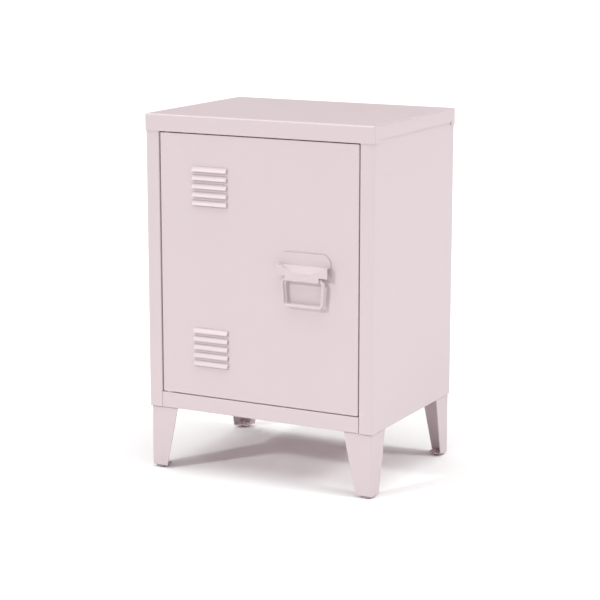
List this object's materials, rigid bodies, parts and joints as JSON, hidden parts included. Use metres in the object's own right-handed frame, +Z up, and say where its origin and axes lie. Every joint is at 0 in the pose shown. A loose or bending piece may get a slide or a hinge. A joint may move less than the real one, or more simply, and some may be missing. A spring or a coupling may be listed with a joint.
{
  "type": "locker cabinet",
  "caption": "Small steel locker with one louvred door, a drop ring pull, a capped top and four tapered sheet-metal legs; shelf inside.",
  "frame": {"origin": "on the floor, under the middle of the locker's bounding box, the handle included", "axes": "+Z up, +X to the right as one faces the door, -Y out of the door towards the user"},
  "size_m": [0.4, 0.3116, 0.575],
  "materials": {
    "shell_paint": "satin powder coat, pale pink",
    "inside_paint": "satin powder coat, pale pink",
    "zinc_plate": "bright zinc plate",
    "ferrite": "sintered, matt",
    "white_plastic": "moulded nylon",
    "dark_plastic": "moulded polyethylene",
    "bumper_rubber": "soft, translucent grey"
  },
  "bodies": {
    "cabinet": {"top_panel": "shell_paint", "left_side_panel": "shell_paint", "right_side_panel": "shell_paint", "bottom_panel": "shell_paint", "leg_front_left": "shell_paint", "leg_front_right": "shell_paint", "leg_rear_left": "shell_paint", "leg_rear_right": "shell_paint", "back_panel": "inside_paint", "shelf": "inside_paint", "shelf_track_front_left": "inside_paint", "shelf_track_front_right": "inside_paint", "shelf_track_rear_left": "inside_paint", "shelf_track_rear_right": "inside_paint", "shelf_clip_front_left": "zinc_plate", "shelf_clip_front_right": "zinc_plate", "shelf_clip_rear_left": "zinc_plate", "shelf_clip_rear_right": "zinc_plate", "leg_bolt_front_left_1": "zinc_plate", "leg_bolt_front_left_2": "zinc_plate", "leg_bolt_front_right_1": "zinc_plate", "leg_bolt_front_right_2": "zinc_plate", "leg_bolt_rear_left_1": "zinc_plate", "leg_bolt_rear_left_2": "zinc_plate", "leg_bolt_rear_right_1": "zinc_plate", "leg_bolt_rear_right_2": "zinc_plate", "top_screw_front_left": "zinc_plate", "top_screw_front_right": "zinc_plate", "top_screw_rear_left": "zinc_plate", "top_screw_rear_right": "zinc_plate", "back_screw_lower_left": "zinc_plate", "back_screw_lower_right": "zinc_plate", "back_screw_middle_left": "zinc_plate", "back_screw_middle_right": "zinc_plate", "back_screw_upper_left": "zinc_plate", "back_screw_upper_right": "zinc_plate", "catch_screw_1": "zinc_plate", "catch_screw_2": "zinc_plate", "catch_magnet": "ferrite", "catch_housing": "white_plastic", "hinge_bushing_upper": "white_plastic", "hinge_bushing_lower": "white_plastic", "foot_glide_front_left": "dark_plastic", "foot_glide_front_right": "dark_plastic", "foot_glide_rear_left": "dark_plastic", "foot_glide_rear_right": "dark_plastic", "door_bumper_lower": "bumper_rubber", "door_bumper_upper": "bumper_rubber"},
    "door": {"door_panel": "shell_paint", "door_stiffener": "inside_paint", "hinge_pin_upper": "zinc_plate", "hinge_pin_lower": "zinc_plate", "handle_bracket": "shell_paint", "handle_screw_1": "zinc_plate", "handle_screw_2": "zinc_plate"},
    "ring": {"ring_pull": "shell_paint"}
  },
  "joints": [
    {"name": "door_hinge", "type": "hinge", "parent": "cabinet", "child": "door", "pos_m": [-0.1635, -0.13625, 0.3382], "axis": [0, 0, -1], "range_deg": [0, 110]},
    {"name": "ring_pivot", "type": "hinge", "parent": "door", "child": "ring", "pos_m": [0.0835, -0.1511, 0.3364], "axis": [-1, 0, 0], "range_deg": [-6, 100]}
  ]
}
